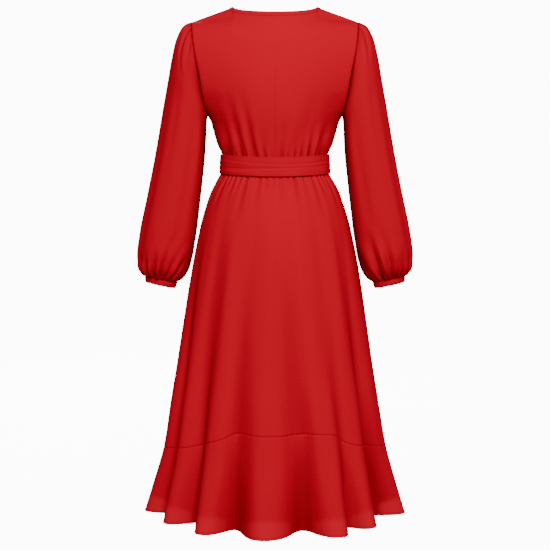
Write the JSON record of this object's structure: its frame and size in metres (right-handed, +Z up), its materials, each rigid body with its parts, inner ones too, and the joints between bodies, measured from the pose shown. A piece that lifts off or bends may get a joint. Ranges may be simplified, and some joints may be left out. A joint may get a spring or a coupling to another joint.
{
  "type": "wrap dress",
  "caption": "Long-sleeved midi wrap dress with crossed fronts, a sash tied at the waist, full sleeves gathered into cuffs, and a flounced skirt; hollow, as worn.",
  "frame": {"origin": "midway between the two high neck points, at the height where the shoulder seams start; the wearer's shoulders hold the dress there", "axes": "+Z up, +Y towards the back of the dress, +X towards the wearer's left"},
  "size_m": [0.655, 0.4972, 1.2149],
  "materials": {
    "dress_cloth": "soft red crepe, one layer, matt with a faint sheen",
    "dress_trim": "the same red crepe folded double"
  },
  "bodies": {
    "root": {"bodice_back": "dress_cloth", "bodice_front_right": "dress_cloth", "bodice_front_left": "dress_cloth", "sleeve_left": "dress_cloth", "sleeve_right": "dress_cloth", "skirt_back": "dress_cloth", "skirt_front_right": "dress_cloth", "skirt_front_left": "dress_cloth", "flounce_back": "dress_cloth", "flounce_front_right": "dress_cloth", "flounce_front_left": "dress_cloth", "neck_binding_back": "dress_trim", "neck_binding_right": "dress_trim", "neck_binding_left": "dress_trim", "cuff_left": "dress_trim", "cuff_right": "dress_trim", "belt_band": "dress_trim", "belt_knot": "dress_trim", "belt_tail_inner": "dress_trim", "belt_tail_outer": "dress_trim"}
  },
  "joints": []
}
